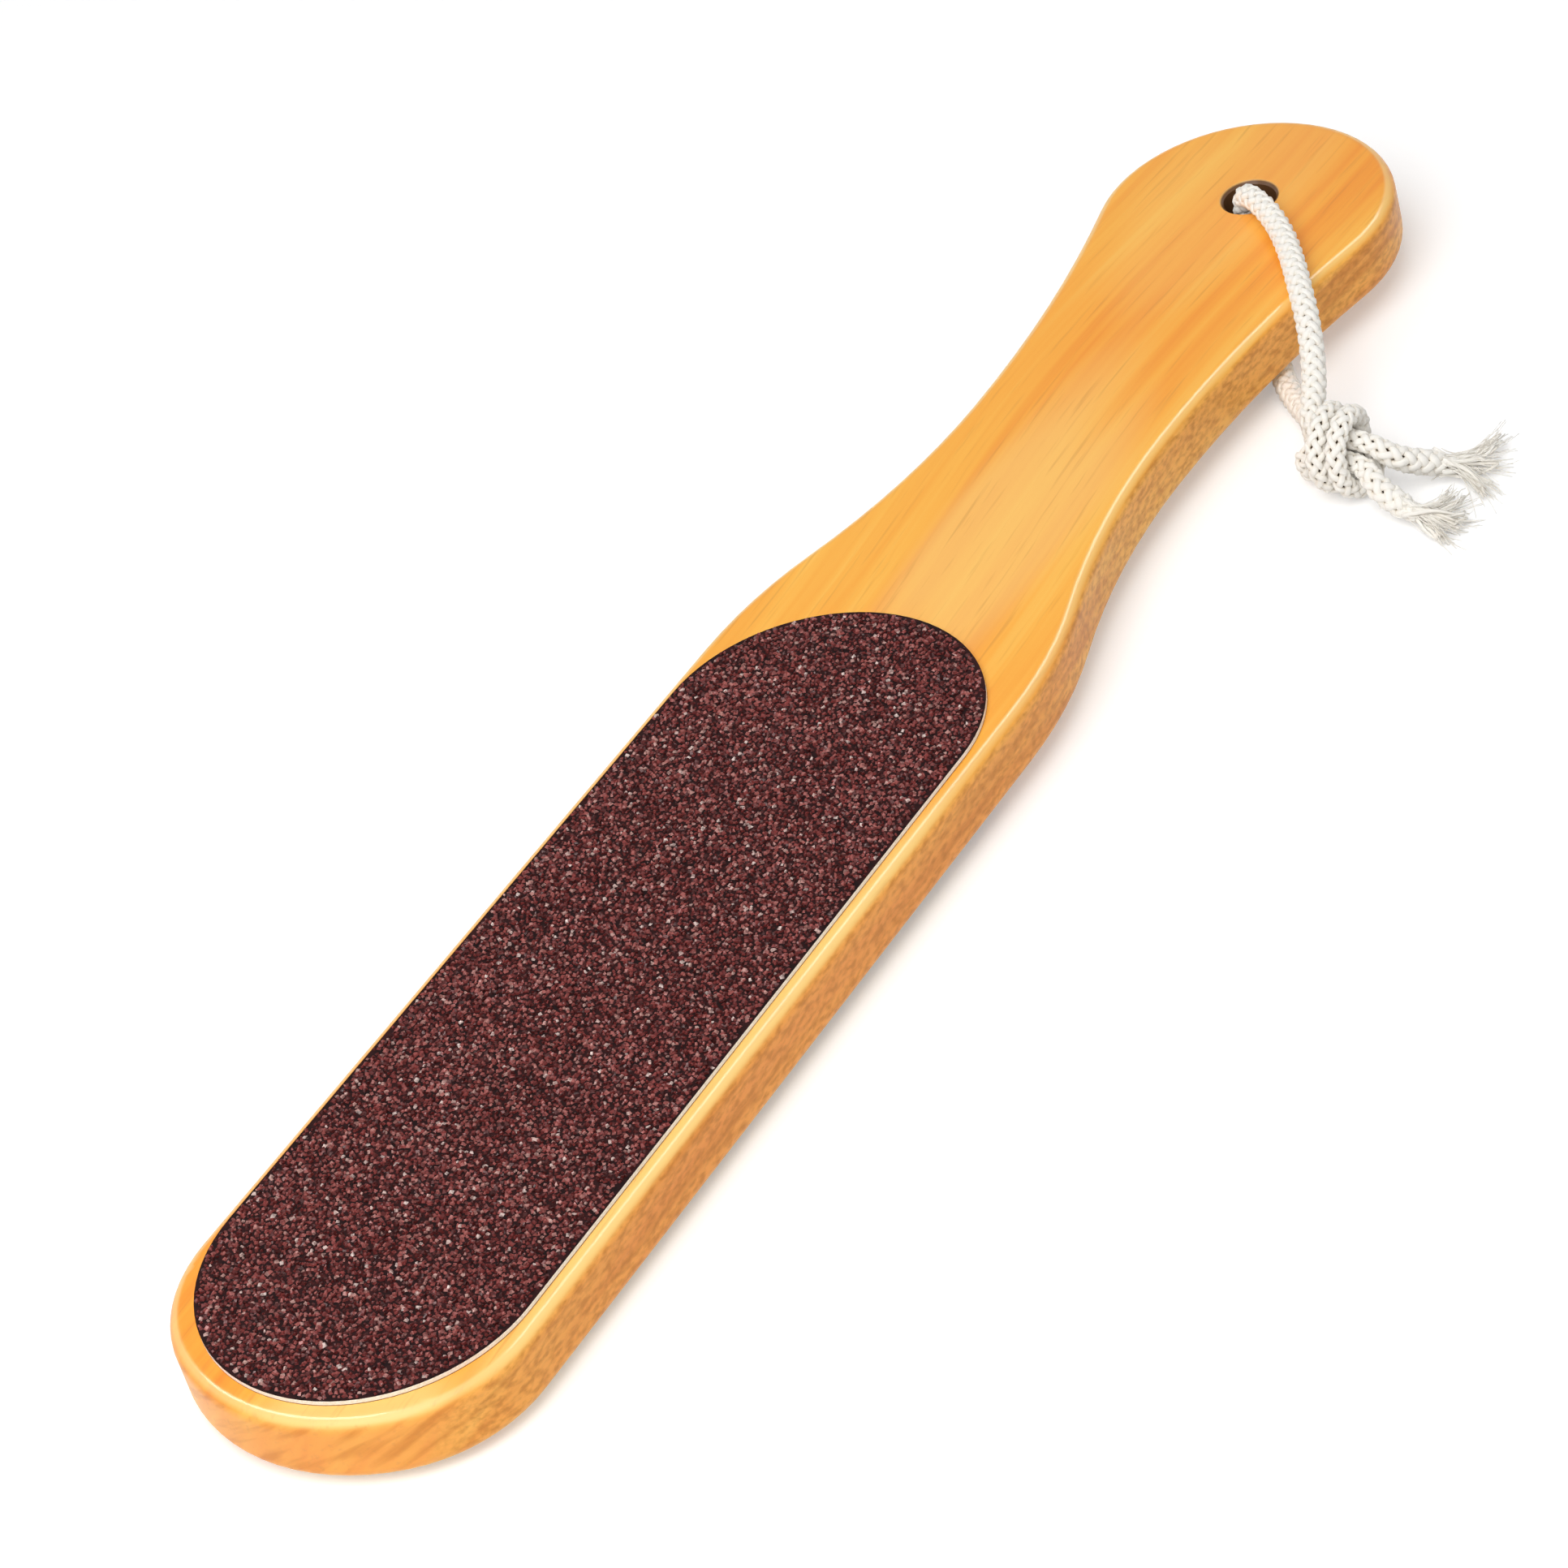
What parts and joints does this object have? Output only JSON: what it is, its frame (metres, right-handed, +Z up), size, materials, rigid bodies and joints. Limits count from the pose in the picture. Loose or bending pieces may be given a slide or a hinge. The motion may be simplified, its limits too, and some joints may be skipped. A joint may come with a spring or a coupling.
{
  "type": "foot file",
  "caption": "Flat wooden paddle foot file with a rounded abrasive pad on each face of its head, a waisted handle, and a knotted cotton hanging cord through a hole in the handle.",
  "frame": {"origin": "on the table under the middle of the file's length and width, cord left out", "axes": "+X along the file from the toe to the handle's tip, +Y across it, +Z up from the table; the file slopes up by 0.75 degrees towards the handle, which lies on its cord"},
  "size_m": [0.26, 0.08, 0.0173],
  "materials": {
    "lacquered_wood": "clear satin lacquer",
    "pad_backing": "matte",
    "grit": "coarse grains",
    "cotton_cord": "braided cotton"
  },
  "bodies": {
    "file": {"paddle": "lacquered_wood", "front_backing": "pad_backing", "front_grit": "grit", "rear_backing": "pad_backing", "rear_grit": "grit"},
    "cord": {"cord_front_leg": "cotton_cord", "cord_back_leg": "cotton_cord", "cord_knot": "cotton_cord", "cord_lower_tail": "cotton_cord", "cord_upper_tail": "cotton_cord"}
  },
  "joints": [
    {"name": "cord_swing", "type": "hinge", "parent": "file", "child": "cord", "pos_m": [0.11091, 0, 0.00881], "axis": [-0.0131, 0, 0.9999], "range_deg": [0, 270]}
  ]
}
